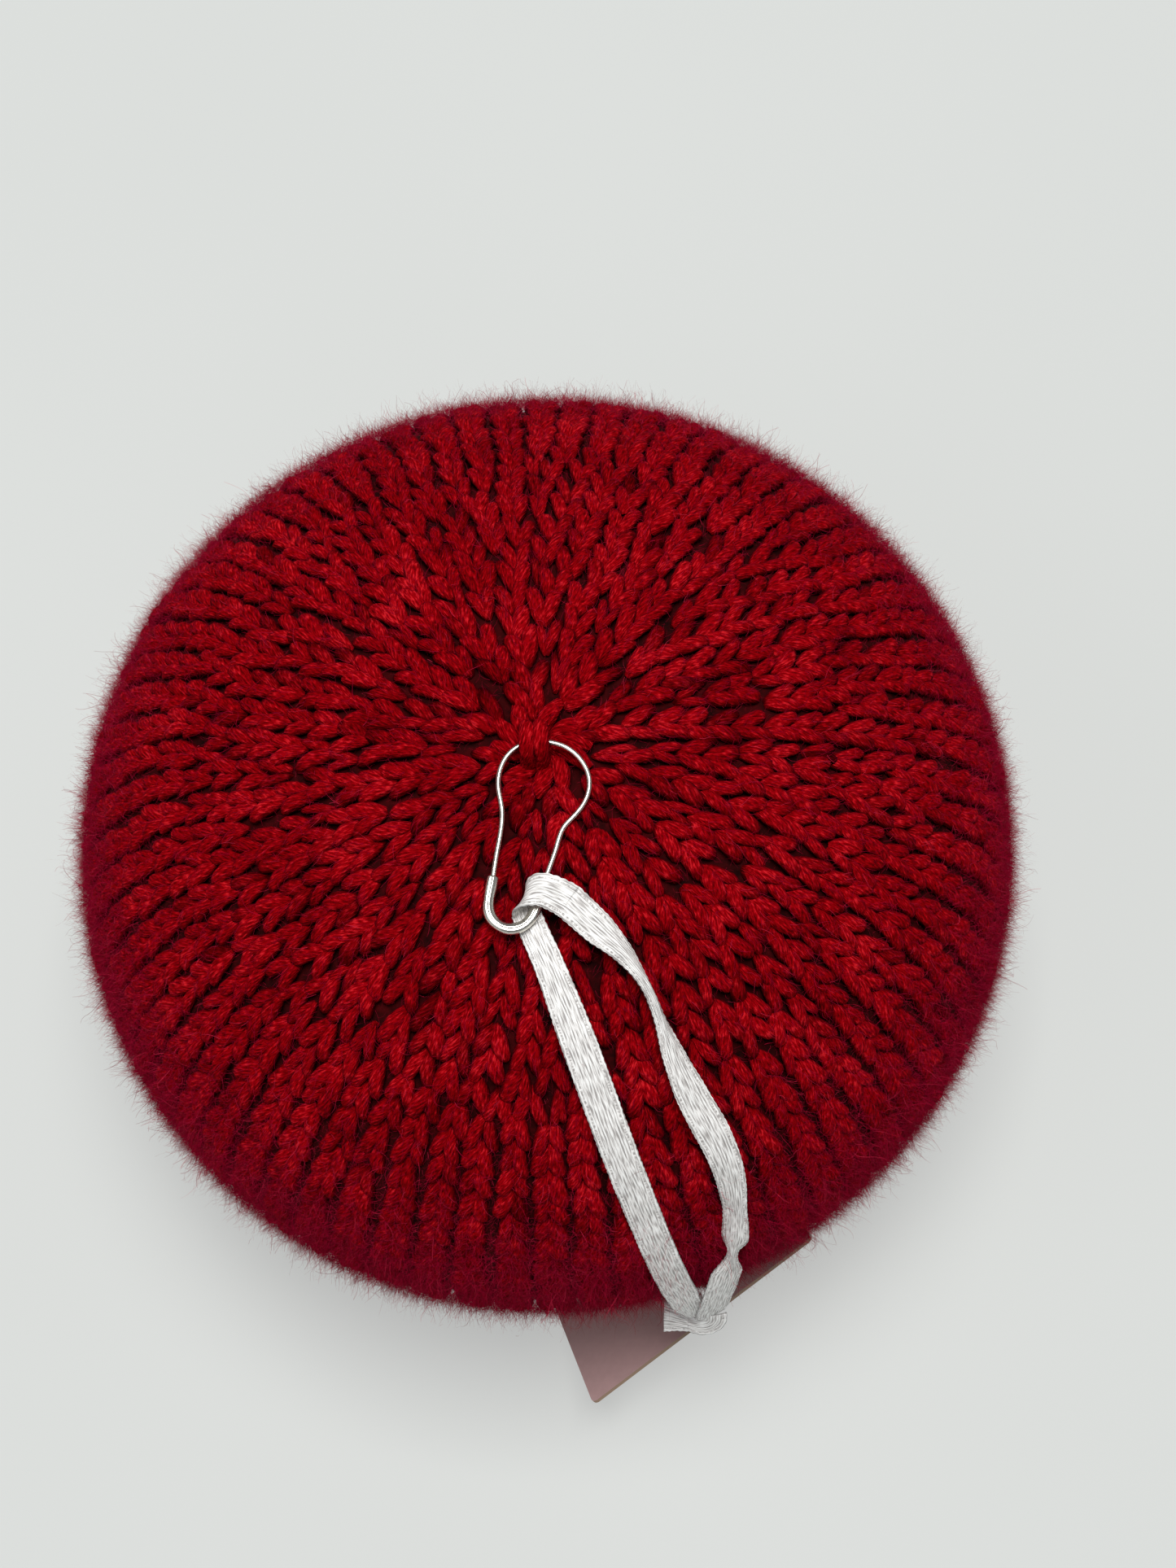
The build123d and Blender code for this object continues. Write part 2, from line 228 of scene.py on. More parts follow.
def facing(lines, up):
    """The same vertical direction, 1 for up and -1 for down, for every point of the lines."""
    return np.broadcast_to(np.array([0.0, 0.0, float(up)]), lines.shape)


def smooth_route(points, step=0.4, tension=0.5):
    """Catmull-Rom line through the points, in metres, sampled about every step millimetres."""
    p = np.array(points, float)
    p = np.vstack([2 * p[0] - p[1], p, 2 * p[-1] - p[-2]])
    out = []
    for a, b, c, d in zip(p, p[1:], p[2:], p[3:]):
        n = max(int(np.linalg.norm(c - b) / step), 2)
        t = np.linspace(0, 1, n, endpoint=False)[:, None]
        m1, m2 = tension * (c - a), tension * (d - b)
        out.append((2 * t**3 - 3 * t**2 + 1) * b + (t**3 - 2 * t**2 + t) * m1
                   + (-2 * t**3 + 3 * t**2) * c + (t**3 - t**2) * m2)
    out.append(p[-2][None])
    return np.vstack(out) * MM


def filleted_route(points, share=0.45, step=0.4):
    """Straight runs joined by tangent arcs, as the CAD ribbon runs, sampled in metres."""
    p = [Vector(q) for q in points]
    out = [p[0]]
    for before, corner, after in zip(p, p[1:], p[2:]):
        cut = share * min((corner - before).length, (after - corner).length)
        start = corner + (before - corner).normalized() * cut
        end = corner + (after - corner).normalized() * cut
        turn = (corner - before).angle(after - corner)
        radius = cut / math.tan(turn / 2)
        inward = ((start - corner).normalized() + (end - corner).normalized()).normalized()
        centre = corner + inward * math.hypot(radius, cut)
        for t in np.linspace(0, 1, 9):
            spoke = (start - centre).slerp(end - centre, t)
            out.append(centre + spoke.normalized() * radius)
    out.append(p[-1])
    dense = [out[0]]
    for a, b in zip(out, out[1:]):
        n = max(int((b - a).length / step), 1)
        dense += [a.lerp(b, k / n) for k in range(1, n + 1)]
    return np.array(dense) * MM


# ==== the dome's surface ============================================================
def dome_profile():
    """Distance along the surface, radius, height and the two parts of the normal, from the crown
    to the base opening."""
    t = np.linspace(0, np.pi / 2, 500)
    top_r = DOME_RADIUS * np.sin(t) ** (2 / TOP_POWER)
    top_z = EQUATOR_Z + CROWN_RISE * np.cos(t) ** (2 / TOP_POWER)
    top_z = top_z - DIMPLE_DEPTH * np.exp(-(top_r / DIMPLE_RADIUS) ** 2)
    t = t[::-1][1:]
    low_r = BASE_FLAT_RADIUS + (DOME_RADIUS - BASE_FLAT_RADIUS) * np.sin(t) ** (2 / BOTTOM_POWER)
    low_z = EQUATOR_Z - BASE_DROP * np.cos(t) ** (2 / BOTTOM_POWER)
    flat_r = np.linspace(BASE_FLAT_RADIUS, BASE_HOLE_RADIUS, 12)[1:]
    r = np.concatenate([top_r, low_r, flat_r])
    z = np.concatenate([top_z, low_z, np.full(len(flat_r), EQUATOR_Z - BASE_DROP)])
    s = np.concatenate([[0], np.cumsum(np.hypot(np.diff(r), np.diff(z)))])
    even = np.linspace(0, s[-1], 800)
    r, z = np.interp(even, s, r), np.interp(even, s, z)
    dr, dz = np.gradient(r, even), np.gradient(z, even)
    kernel = np.ones(9) / 9
    nr = np.convolve(np.pad(-dz, 4, "edge"), kernel, "valid")
    nz = np.convolve(np.pad(dr, 4, "edge"), kernel, "valid")
    length = np.hypot(nr, nz)
    return even, r, z, nr / length, nz / length


S, PROFILE_R, PROFILE_Z, NORMAL_R, NORMAL_Z = dome_profile()
S_END = S[-1]
S_EQUATOR = S[np.argmax(PROFILE_R)]


def dome_radius_at(s):
    return np.interp(s, S, PROFILE_R)


def s_at_radius(radius):
    """Distance along the upper surface at which it is radius from the middle."""
    upper = np.argmax(PROFILE_R)
    return np.interp(radius, PROFILE_R[:upper], S[:upper])


def dome_normal(s, angle):
    nr, nz = np.interp(s, S, NORMAL_R), np.interp(s, S, NORMAL_Z)
    return np.stack([nr * np.cos(angle), nr * np.sin(angle), nz], -1)


def on_dome(s, angle, height):
    r, z = np.interp(s, S, PROFILE_R), np.interp(s, S, PROFILE_Z)
    base = np.stack([r * np.cos(angle), r * np.sin(angle), z], -1)
    return base + dome_normal(s, angle) * np.asarray(height)[..., None]


# ==== materials =====================================================================
def set_inputs(shader, values):
    """Sets sockets of a shader that are the same all over the surface."""
    for name, value in values.items():
        shader.inputs[name].default_value = value


def new_material(name):
    """A material with one shader; returns it with its nodes, links and shader."""
    material = bpy.data.materials.new(name)
    material.use_nodes = True
    nodes, links = material.node_tree.nodes, material.node_tree.links
    nodes.clear()
    out = nodes.new("ShaderNodeOutputMaterial")
    shader = nodes.new("ShaderNodeBsdfPrincipled")
    links.new(shader.outputs[0], out.inputs[0])
    return material, nodes, links, shader


def add_node(nodes, kind, **values):
    """A node with its properties, or else its input sockets, set by name."""
    node = nodes.new(kind)
    for key, value in values.items():
        if hasattr(node, key):
            setattr(node, key, value)
        else:
            node.inputs[key].default_value = value
    return node


def ramp_node(nodes, stops):
    """A colour ramp from (position, colour) pairs."""
    node = nodes.new("ShaderNodeValToRGB")
    ramp = node.color_ramp
    while len(ramp.elements) < len(stops):
        ramp.elements.new(0.5)
    for element, (position, colour) in zip(ramp.elements, stops):
        element.position = position
        element.color = (*colour, 1)
    return node


def scaled_noise(nodes, links, source, scale, detail=3.0, size=1.0):
    """Noise over a coordinate that is stretched by scale first."""
    mapping = nodes.new("ShaderNodeMapping")
    mapping.inputs["Scale"].default_value = scale
    links.new(source, mapping.inputs["Vector"])
    noise = nodes.new("ShaderNodeTexNoise")
    noise.inputs["Scale"].default_value = size
    noise.inputs["Detail"].default_value = detail
    links.new(mapping.outputs[0], noise.inputs["Vector"])
    return noise


def object_noise(nodes, links, per_metre, detail):
    """Noise that keeps its place on the object."""
    place = nodes.new("ShaderNodeTexCoord")
    return scaled_noise(nodes, links, place.outputs["Object"], (per_metre,) * 3, detail, 1.0)


def bump_into(nodes, links, shader, height_socket, strength, distance):
    """Bump of the given strength and depth, in metres, on the shader."""
    bump = add_node(nodes, "ShaderNodeBump", Strength=strength, Distance=distance)
    links.new(height_socket, bump.inputs["Height"])
    links.new(bump.outputs[0], shader.inputs["Normal"])


def vary_roughness(nodes, links, shader, noise, low, high):
    """Roughness between low and high, following a noise."""
    rough = nodes.new("ShaderNodeMapRange")
    set_inputs(rough, {"To Min": low, "To Max": high})
    links.new(noise.outputs["Fac"], rough.inputs["Value"])
    links.new(rough.outputs[0], shader.inputs["Roughness"])


def multiply_add(nodes, links, value, factor, added):
    """value x factor + added, where value and added are outputs of other nodes."""
    node = add_node(nodes, "ShaderNodeMath", operation="MULTIPLY_ADD")
    links.new(value, node.inputs[0])
    node.inputs[1].default_value = factor
    links.new(added, node.inputs[2])
    return node.outputs[0]


def wool_material():
    """Twisted wool yarn: plies and fine fibres that run along it, with painted highlights on the
    brightest fibres and painted shade deep in the fabric, read from the shade attribute.
    """
    material, nodes, links, shader = new_material("wool")
    uv = add_node(nodes, "ShaderNodeUVMap", uv_map="run")
    shade = add_node(nodes, "ShaderNodeAttribute", attribute_name="shade")
    fibre = scaled_noise(nodes, links, uv.outputs[0], (8.0, 0.45, 1.0), 4.0, 3.0)
    blotch = object_noise(nodes, links, 160, 3.0)
    tone = multiply_add(nodes, links, blotch.outputs["Fac"], 0.35, fibre.outputs["Fac"])
    # fibre tone: partly the fibres' own tone, with painted shade between them and a painted highlight
    # at the top stop
    colour = ramp_node(nodes, [(0.46, (0.06, 0.0001, 0.0006)), (0.60, (0.17, 0.0002, 0.0016)),
                               (0.74, (0.31, 0.0006, 0.0035)), (0.88, (0.62, 0.014, 0.021))])
    links.new(tone, colour.inputs[0])
    # painted shade: the colour is multiplied down to near black where the shade attribute puts the yarn
    # deep in the fabric, under or beside other yarn
    depth = ramp_node(nodes, [(0.0, (0.03, 0.03, 0.03)), (0.40, (0.27, 0.27, 0.27)),
                              (0.85, (1, 1, 1))])
    links.new(shade.outputs["Fac"], depth.inputs[0])
    mix = add_node(nodes, "ShaderNodeMix", data_type="RGBA", blend_type="MULTIPLY")
    mix.inputs["Factor"].default_value = 1.0
    links.new(colour.outputs[0], mix.inputs[6])
    links.new(depth.outputs[0], mix.inputs[7])
    links.new(mix.outputs[2], shader.inputs["Base Color"])
    set_inputs(shader, {"Roughness": 0.8, "Specular IOR Level": 0.01, "Sheen Weight": 0.05,
                        "Sheen Roughness": 0.4, "Sheen Tint": (0.75, 0.02, 0.10, 1)})
    bump_into(nodes, links, shader, fibre.outputs["Fac"], 0.9, 0.0004)
    return material


def ground_material():
    """The purl side seen between the ribs, coloured near black as painted shade for the deep grooves.
    """
    material, nodes, links, shader = new_material("wool_ground")
    noise = object_noise(nodes, links, 700, 4.0)
    # painted shade: near-black red stands in for the shade deep between the ribs
    colour = ramp_node(nodes, [(0.3, (0.008, 0.0001, 0.0002)), (0.7, (0.050, 0.0002, 0.0010))])
    links.new(noise.outputs["Fac"], colour.inputs[0])
    links.new(colour.outputs[0], shader.inputs["Base Color"])
    set_inputs(shader, {"Roughness": 0.95, "Specular IOR Level": 0.1})
    bump_into(nodes, links, shader, noise.outputs["Fac"], 0.8, 0.0005)
    return material


def fuzz_material():
    """Single wool fibres, painted paler than the yarn as painted light for the light that passes
    through them; the tone differs at random from fibre to fibre.
    """
    material, nodes, links, shader = new_material("wool_fibre")
    uv = add_node(nodes, "ShaderNodeUVMap", uv_map="run")
    tone = scaled_noise(nodes, links, uv.outputs[0], (0.0, 3.0, 1.0), 1.0, 1.0)
    # painted light: the pale stops stand in for light passing through the fibres
    colour = ramp_node(nodes, [(0.30, (0.16, 0.0003, 0.010)), (0.56, (0.30, 0.002, 0.024)),
                               (0.72, (0.58, 0.03, 0.07))])
    links.new(tone.outputs["Fac"], colour.inputs[0])
    links.new(colour.outputs[0], shader.inputs["Base Color"])
    set_inputs(shader, {"Roughness": 0.6, "Specular IOR Level": 0.02})
    return material


def satin_material():
    """Woven satin with long floats and a beaded selvedge; their pattern sets the colour from grey to
    white, as painted highlights in streaks and painted shade between them.
    """
    material, nodes, links, shader = new_material("satin")
    uv = add_node(nodes, "ShaderNodeUVMap", uv_map="run")
    broken = scaled_noise(nodes, links, uv.outputs[0], (24.0, 0.55, 1.0), 1.0, 1.0)
    lines = add_node(nodes, "ShaderNodeTexWave", bands_direction="X", Scale=3.4, Distortion=0.4)
    links.new(uv.outputs[0], lines.inputs["Vector"])
    floats = multiply_add(nodes, links, lines.outputs["Fac"], 0.16, broken.outputs["Fac"])
    soft = scaled_noise(nodes, links, uv.outputs[0], (1.2, 0.16, 1.0), 2.0, 1.0)
    beads = scaled_noise(nodes, links, uv.outputs[0], (9.0, 3.2, 1.0), 1.0, 1.0)
    parts = nodes.new("ShaderNodeSeparateXYZ")
    links.new(uv.outputs[0], parts.inputs[0])
    turned = add_node(nodes, "ShaderNodeMath", operation="FRACT")
    links.new(parts.outputs["X"], turned.inputs[0])
    edge = ramp_node(nodes, [(0.06, (0, 0, 0)), (0.10, (1, 1, 1)), (0.16, (0, 0, 0)),
                             (0.84, (0, 0, 0)), (0.90, (1, 1, 1)), (0.94, (0, 0, 0))])
    links.new(turned.outputs[0], edge.inputs[0])
    weave_and_painted_sheen = add_node(nodes, "ShaderNodeMix", data_type="FLOAT")
    links.new(edge.outputs[0], weave_and_painted_sheen.inputs["Factor"])
    links.new(floats, weave_and_painted_sheen.inputs[2])
    links.new(beads.outputs["Fac"], weave_and_painted_sheen.inputs[3])
    # painted light: the pattern of floats and beads sets the colour from grey, as painted shade, to
    # white, as painted highlight
    colour = ramp_node(nodes, [(0.40, (0.38, 0.355, 0.345)), (0.52, (0.63, 0.61, 0.59)),
                               (0.62, (0.88, 0.86, 0.84)), (0.72, (1.0, 1.0, 0.98))])
    links.new(weave_and_painted_sheen.outputs[0], colour.inputs[0])
    links.new(colour.outputs[0], shader.inputs["Base Color"])
    vary_roughness(nodes, links, shader, soft, 0.25, 0.5)
    set_inputs(shader, {"Specular IOR Level": 0.6})
    bump_into(nodes, links, shader, weave_and_painted_sheen.outputs[0], 0.8, 0.0002)
    return material


def metal_material():
    """Bright plated wire with fine drawing marks and slight dulling."""
    material, nodes, links, shader = new_material("pin_metal")
    marks = object_noise(nodes, links, 2200, 4.0)
    colour = ramp_node(nodes, [(0.35, (0.74, 0.71, 0.64)), (0.6, (0.88, 0.85, 0.77))])
    links.new(marks.outputs["Fac"], colour.inputs[0])
    links.new(colour.outputs[0], shader.inputs["Base Color"])
    set_inputs(shader, {"Metallic": 1.0})
    vary_roughness(nodes, links, shader, marks, 0.22, 0.34)
    bump_into(nodes, links, shader, marks.outputs["Fac"], 0.06, 0.00003)
    return material


def card_material():
    """Smooth card, brownish where it is cut; its faces are painted darker and redder than the pale
    card, as painted shade under the dome and a painted red reflection from the wool.
    """
    material, nodes, links, shader = new_material("card")
    cut = add_node(nodes, "ShaderNodeAttribute", attribute_name="cut_edge")
    grain = object_noise(nodes, links, 900, 5.0)
    # painted shade and painted reflection: the faces are darkened and tinted red for the dome's shade
    # and the red light thrown back from the wool
    face = ramp_node(nodes, [(0.3, (0.42, 0.265, 0.26)), (0.7, (0.45, 0.285, 0.28))])
    links.new(grain.outputs["Fac"], face.inputs[0])
    mix = add_node(nodes, "ShaderNodeMix", data_type="RGBA")
    links.new(cut.outputs["Fac"], mix.inputs["Factor"])
    links.new(face.outputs[0], mix.inputs[6])
    mix.inputs[7].default_value = (0.33, 0.22, 0.15, 1)
    links.new(mix.outputs[2], shader.inputs["Base Color"])
    set_inputs(shader, {"Roughness": 0.62})
    bump_into(nodes, links, shader, grain.outputs["Fac"], 0.25, 0.00008)
    return material


def felt_material(name, dark, light):
    """Fine matted fibres between two colours: the felt, the thread and the hidden inner pieces."""
    material, nodes, links, shader = new_material(name)
    fibres = object_noise(nodes, links, 1500, 6.0)
    patches = object_noise(nodes, links, 120, 3.0)
    total = multiply_add(nodes, links, patches.outputs["Fac"], 0.5, fibres.outputs["Fac"])
    colour = ramp_node(nodes, [(0.5, dark), (1.0, light)])
    links.new(total, colour.inputs[0])
    links.new(colour.outputs[0], shader.inputs["Base Color"])
    set_inputs(shader, {"Roughness": 0.95, "Sheen Weight": 0.3})
    bump_into(nodes, links, shader, fibres.outputs["Fac"], 0.8, 0.0003)
    return material


def elastic_material():
    """Woven elastic: ribs across the band and fine warp threads along it."""
    material, nodes, links, shader = new_material("elastic")
    uv = add_node(nodes, "ShaderNodeUVMap", uv_map="run")
    ribs = add_node(nodes, "ShaderNodeTexWave", bands_direction="Y", Scale=0.45, Distortion=0.3)
    links.new(uv.outputs[0], ribs.inputs["Vector"])
    warp = scaled_noise(nodes, links, uv.outputs[0], (40.0, 0.8, 1.0), 2.0, 1.0)
    total = multiply_add(nodes, links, ribs.outputs["Fac"], 0.5, warp.outputs["Fac"])
    colour = ramp_node(nodes, [(0.35, (0.018, 0.002, 0.003)), (1.0, (0.10, 0.008, 0.012))])
    links.new(total, colour.inputs[0])
    links.new(colour.outputs[0], shader.inputs["Base Color"])
    set_inputs(shader, {"Roughness": 0.7})
    bump_into(nodes, links, shader, total, 0.8, 0.0003)
    return material


# ==== the knit ======================================================================
def wale_ends():
    """How far from the crown each wale ends.  The first wale of each section is a spine that runs
    to the crown; its neighbours end first, those half way between two spines last."""
    ends = np.full(WALES, CROWN_START)
    share = WALES // SECTIONS
    for section in range(SECTIONS):
        for place, radius in zip(DECREASE_ORDER, DECREASE_RADII):
            ends[section * share + place] = s_at_radius((radius + rng.normal() * 0.8) * MM)
    return ends


def wale_layout(ends):
    """Angle and room of every wale at every distance of S; a wale that ends gives up its room."""
    weight = smoothstep((S[None] - ends[:, None] + MERGE_LEAD) / MERGE_LENGTH)
    weight[ends <= CROWN_START] = 1.0
    total = weight.sum(0)
    angle = 2 * np.pi * (np.cumsum(weight, axis=0) - weight / 2) / total
    room = 2 * np.pi * PROFILE_R * weight / total
    return angle, room


def wander(s, phase):
    """Slow sideways wander of a wale, in metres."""
    return 0.18 * MM * np.sin(s / (7.5 * MM) + phase) + 0.10 * MM * np.sin(s / (3.1 * MM) + 2.3 * phase)


def row_positions():
    """Distance from the crown of every row of stitches."""
    rows = [CROWN_START]
    while rows[-1] < S_END - HEM:
        share = min(rows[-1] / S_EQUATOR, 1.0)
        rows.append(rows[-1] + between((ROW_PITCH_CROWN, ROW_PITCH_RIM), share))
    return rows


def unevenness(s, angle):
    """Slow hills and hollows of the fabric, in metres."""
    hills = 0
    for waves, length, phase in ((5, 31, 0.3), (9, 17, 2.1), (14, 11, 4.0), (23, 8, 1.2)):
        hills = hills + np.sin(waves * angle + phase) * np.sin(s / (length * MM) * 6.28 + 2 * phase)
    return 0.11 * MM * hills


def stitch_leg(apex, side, ribbed, angles, rooms, phase, sunk):
    """One leg of a stitch as a plump leaf, from its apex towards the rim: its centreline, normals,
    half widths, half heights, heights over the dome in millimetres and closeness to the groove,
    lessened where the knit is ribbed, which sets how much painted shade falls beside the groove."""
    t = np.linspace(0, 1, LEG_RINGS)
    plump = np.interp(t, [0, 0.12, 0.3, 0.55, 0.78, 0.92, 1], [0.5, 0.74, 0.93, 1.0, 0.92, 0.70, 0.35])
    rise = np.interp(t, [0, 0.2, 0.5, 0.75, 1], [-0.95, -0.40, 0.05, 0.0, -0.55])
    length = between(LEG_LENGTH, ribbed) * (1 + rng.normal() * 0.09)
    s = np.clip(apex - STITCH_OVERLAP + length * t, 0.8 * MM, S_END)
    middle = s[LEG_RINGS // 2]
    room = np.interp(middle, S, rooms)
    spread = 0.03 + between(LEG_SPREAD, ribbed) * t * (1 + rng.normal() * 0.10)
    stray = (rng.normal() * 0.11 + rng.normal() * 0.14 * t) * MM
    across = side * room * spread + stray + wander(s, phase)
    angle = np.interp(middle, S, angles) + across / np.maximum(dome_radius_at(s), 3 * MM)
    edge = np.minimum(2 * np.abs(across) / np.maximum(room, 0.5 * MM), 1.0)
    fall = between(LEG_FALL, ribbed) * edge ** 2.5
    height = rise * MM - fall - LEG_DEPTH + sunk + unevenness(s, angle) + 0.14 * MM * rng.normal()
    half = np.clip(between(LEG_HALF_WIDTH, ribbed) * room, *LEG_WIDTH_LIMITS) * plump
    half = half * (1 + rng.normal() * 0.09)
    return (on_dome(s, angle, height), dome_normal(s, angle), half,
            np.minimum(0.85 * half, 0.85 * MM), height / MM, edge * (1 - 0.35 * ribbed))


def stitch_legs():
    """What stitch_leg returns for every leg of every stitch, and the sector each leg is in.  The
    two legs of a stitch start together on the side of the crown and spread towards the rim."""
    legs = []
    rows = row_positions()
    ends = wale_ends()
    angles, rooms = wale_layout(ends)
    for index in range(WALES):
        phase = rng.random() * 6.28
        shift = rng.normal() * 1.1 * MM
        sunk = rng.normal() * 0.10 * MM
        for row in rows:
            apex = row + shift + rng.normal() * 0.25 * MM
            if apex < ends[index] or apex + 2 * MM > S_END:
                continue
            ribbed = float(smoothstep((row - RIBS_FROM) / RIBS_OVER))
            for side in (-1, 1):
                leg = stitch_leg(apex, side, ribbed, angles[index], rooms[index], phase, sunk)
                legs.append((*leg, index * SECTORS // WALES))
    return [np.array(column) for column in zip(*legs)]


def build_knit(wool):
    """The stitches, with painted shade in the shade attribute: darker low in the fabric, on the flanks
    and underside of the yarn and beside the grooves.  Returns centrelines and normals.
    """
    lines, normals, widths, heights, levels, edges, sectors = stitch_legs()
    for sector in range(SECTORS):
        mine = sectors == sector
        verts, faces, uvs, above = tubes(lines[mine], normals[mine], widths[mine], heights[mine],
                                         LEG_SIDES, ply=0.07, ply_turns=1.9)
        # painted shade: darker low in the fabric, on the yarn's flanks and underside, and beside the
        # grooves; tone is a random change from leg to leg
        level = levels[mine][..., None] + above / MM
        flank_shade = smoothstep(0.12 + 0.95 * above / heights[mine][..., None])
        tone = 1 + 0.17 * rng.normal(size=(len(level), 1, 1))
        shade = (0.25 * smoothstep((level + 1.35) / 1.75) + 0.75 * flank_shade) * tone
        shade = shade * smoothstep(0.35 + (level + 1.2) / 1.3)
        shade = shade * (1 - 0.50 * smoothstep((edges[mine][..., None] - 0.45) / 0.55))
        piece = make_mesh(f"knit_stitches_{sector + 1}", verts, faces, uvs, wool, shade)
        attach(piece, "cushion")
    return lines, normals


def build_ground(material):
    """The closed fabric under the stitches, from the crown to the base opening."""
    rings, sides = 150, 216
    s = np.linspace(1.2 * MM, S_END, rings)
    angle = np.linspace(0, 2 * np.pi, sides, endpoint=False)
    ss, aa = np.meshgrid(s, angle, indexing="ij")
    height = GROUND_LIFT * smoothstep((ss - 40 * MM) / (18 * MM)) - GROUND_DEPTH
    outer = on_dome(ss, aa, height).reshape(-1, 3)
    inner = on_dome(ss[::-1], aa[::-1], np.full(ss.shape, -GROUND_BACK)).reshape(-1, 3)
    verts = np.vstack([outer, inner])
    faces = grid_faces(rings, sides, True)
    join = np.arange(sides)
    nxt = (join + 1) % sides
    last = (rings - 1) * sides
    rim = np.stack([last + join, last + nxt, rings * sides + nxt, rings * sides + join], -1)
    first_inner_end = rings * sides + last
    crown = np.stack([first_inner_end + join, first_inner_end + nxt, nxt, join], -1)
    faces = np.vstack([faces, faces + rings * sides, rim, crown])
    piece = make_mesh("knit_ground", verts, faces, None, material)
    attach(piece, "cushion")
    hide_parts("knit_cover")


# ==== wool fuzz =====================================================================
def fibre_strips(starts, directions, normals, lengths, curl, half_width, steps):
    """Thin curling strips of known length, one per fibre."""
    count = len(starts)
    t = np.linspace(0, 1, steps)[None, :, None]
    side = unit(np.cross(directions, normals + 1e-6))
    swing = 3 + 6 * rng.random((count, 1, 1))
    phases = 6.28 * rng.random((2, count, 1, 1))
    sway = np.sin(t * swing + phases[0]) - np.sin(phases[0])
    nod = np.sin(t * swing * 0.8 + phases[1]) - np.sin(phases[1])
    heading = unit(directions[:, None] + curl * (side[:, None] * sway + normals[:, None] * nod))
    walk = np.cumsum(heading, axis=1) - heading[:, :1]
    line = starts[:, None] + walk * lengths[:, None, None] / (steps - 1)
    facing = unit(rng.normal(size=(count, 1, 3)))
    across = unit(np.cross(heading, np.broadcast_to(facing, heading.shape)))
    taper = (1 - 0.6 * t) * half_width
    verts = np.stack([line - across * taper, line + across * taper], 2).reshape(-1, 3)
    verts[:, 2] = np.maximum(verts[:, 2], 0.5 * MM)
    faces = repeat_faces(grid_faces(steps, 2, False), steps * 2, count)
    tone = np.broadcast_to(rng.random((count, 1, 1)) * 60, (count, steps, 2))
    uvs = np.stack([np.zeros((count, steps, 2)), tone], -1).reshape(-1, 2)
    return verts, faces, uvs


def add_fibres(name, strips, material):
    verts, faces, uvs = strips
    piece = make_mesh(name, verts, faces, uvs, material)
    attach(piece, "cushion")


def outward(direction, normal, least):
    """Turns directions that point into the dome so that they leave it."""
    dot = np.sum(direction * normal, -1, keepdims=True)
    return unit(direction + np.maximum(least - dot, 0) * normal)


def build_fuzz(material):
    """Flyaway fibres all over the wool: a short nap, a longer halo and a few long curls.  Each
    group has a name, a count, shortest and longest length and half width in millimetres, curl,
    lift off the surface, points per fibre and the share that crowds towards the rim."""
    nap = [(f"fuzz_nap_{number}", 32000, (1.0, 2.6), 0.6, 0.020, 0.8, 4, 1.0) for number in (3, 4, 5)]
    groups = [("fuzz_nap_1", 32000, (0.9, 2.2), 0.6, 0.014, 0.7, 4, 0.55),
              ("fuzz_nap_2", 32000, (1.0, 2.6), 0.6, 0.018, 0.8, 4, 0.95), *nap,
              ("fuzz_halo_1", 24000, (1.8, 4.4), 0.9, 0.013, 0.9, 5, 0.95),
              ("fuzz_halo_2", 24000, (1.8, 4.4), 0.9, 0.013, 0.9, 5, 1.0),
              ("fuzz_wisps", 7000, (2.2, 5.2), 1.4, 0.028, 0.8, 10, 0.93),
              ("fuzz_curls", 90, (5.0, 9.0), 1.5, 0.018, 0.4, 16, 0.6)]
    for name, count, lengths, curl, half_width, lift, steps, rimward in groups:
        s = CROWN_START + (S_END - 5 * MM - CROWN_START) * rng.random(count * 6)
        near_rim = np.exp(-((s - S_EQUATOR + 6 * MM) / (15 * MM)) ** 2)
        chance = dome_radius_at(s) / DOME_RADIUS * (1 - rimward + rimward * near_rim)
        s = s[rng.random(len(s)) < chance][:count]
        angle = rng.random(len(s)) * 2 * np.pi
        normal = dome_normal(s, angle)
        direction = outward(unit(normal * lift + unit(rng.normal(size=(len(s), 3)))), normal, 0.05)
        start = on_dome(s, angle, (0.1 + 0.7 * rng.random(len(s))) * MM)
        length = between(lengths, rng.random(len(s)) ** 1.6) * MM
        strips = fibre_strips(start, direction, normal, length, curl, half_width * MM, steps)
        add_fibres(name, strips, material)


def build_yarn_fibres(material, lines, normals):
    """Fibres that lie along the legs of the stitches and lift off a little."""
    per_leg = 12
    leg = np.repeat(np.arange(len(lines)), per_leg)
    ring = rng.integers(2, LEG_RINGS - 2, len(leg))
    along = unit(lines[leg, ring + 1] - lines[leg, ring])
    normal = normals[leg, ring]
    aside = np.cross(along, normal)
    offset = rng.normal(size=(len(leg), 1)) * 0.4 * MM
    start = lines[leg, ring] + aside * offset + normal * (0.72 + 0.16 * rng.random((len(leg), 1))) * MM
    direction = unit(along + 0.28 * rng.normal(size=along.shape) + 0.12 * normal)
    length = (1.0 + 1.5 * rng.random(len(leg))) * MM
    for half in range(2):
        mine = slice(half, None, 2)
        strips = fibre_strips(start[mine], direction[mine], normal[mine], length[mine], 0.3,
                              0.018 * MM, 4)
        add_fibres(f"fuzz_yarn_{half + 1}", strips, material)


# ==== yarn of the crown =============================================================
def yarn_strand(points, half, steps):
    """Centreline and half widths of one strand through given points, in millimetres."""
    line = smooth_route(points, step=0.25)
    line = line[np.linspace(0, len(line) - 1, steps).astype(int)]
    t = np.linspace(0, 1, steps)
    return line, half * (0.55 + 0.45 * np.sin(np.pi * (0.08 + 0.84 * t)) ** 0.5)


